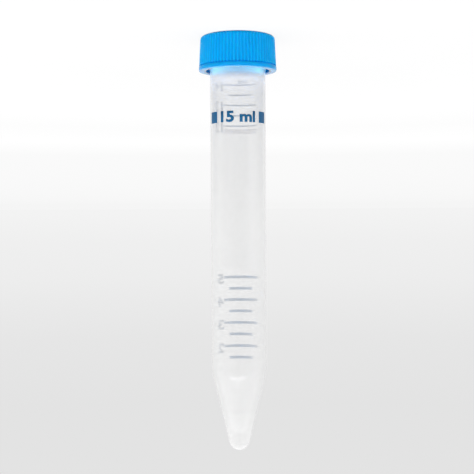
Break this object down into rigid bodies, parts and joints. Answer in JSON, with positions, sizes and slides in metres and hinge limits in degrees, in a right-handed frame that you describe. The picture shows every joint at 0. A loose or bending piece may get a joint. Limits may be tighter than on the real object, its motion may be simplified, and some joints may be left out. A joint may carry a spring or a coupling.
{
  "type": "15 ml conical tube",
  "caption": "Slender see-through plastic tube with a tapered conical bottom, volume graduations and a ribbed flat-topped screw cap, standing on its cap.",
  "frame": {"origin": "centre of the cap's flat top, which rests on the ground plane", "axes": "+Z along the tube's axis, from the cap to the tip of the cone; the tube stands on its head"},
  "size_m": [0.0224, 0.0224, 0.12],
  "materials": {
    "clear_polypropylene": "satin",
    "blue_cap": "satin",
    "blue_print": "matte",
    "white_print": "matte"
  },
  "bodies": {
    "screw_cap": {"screw_cap": "blue_cap"},
    "conical_tube": {"conical_tube": "clear_polypropylene"}
  },
  "joints": [
    {"name": "tube_lift", "type": "slide", "parent": "screw_cap", "child": "conical_tube", "axis": [0, 0, 1], "range_m": [0, 0.03]}
  ]
}
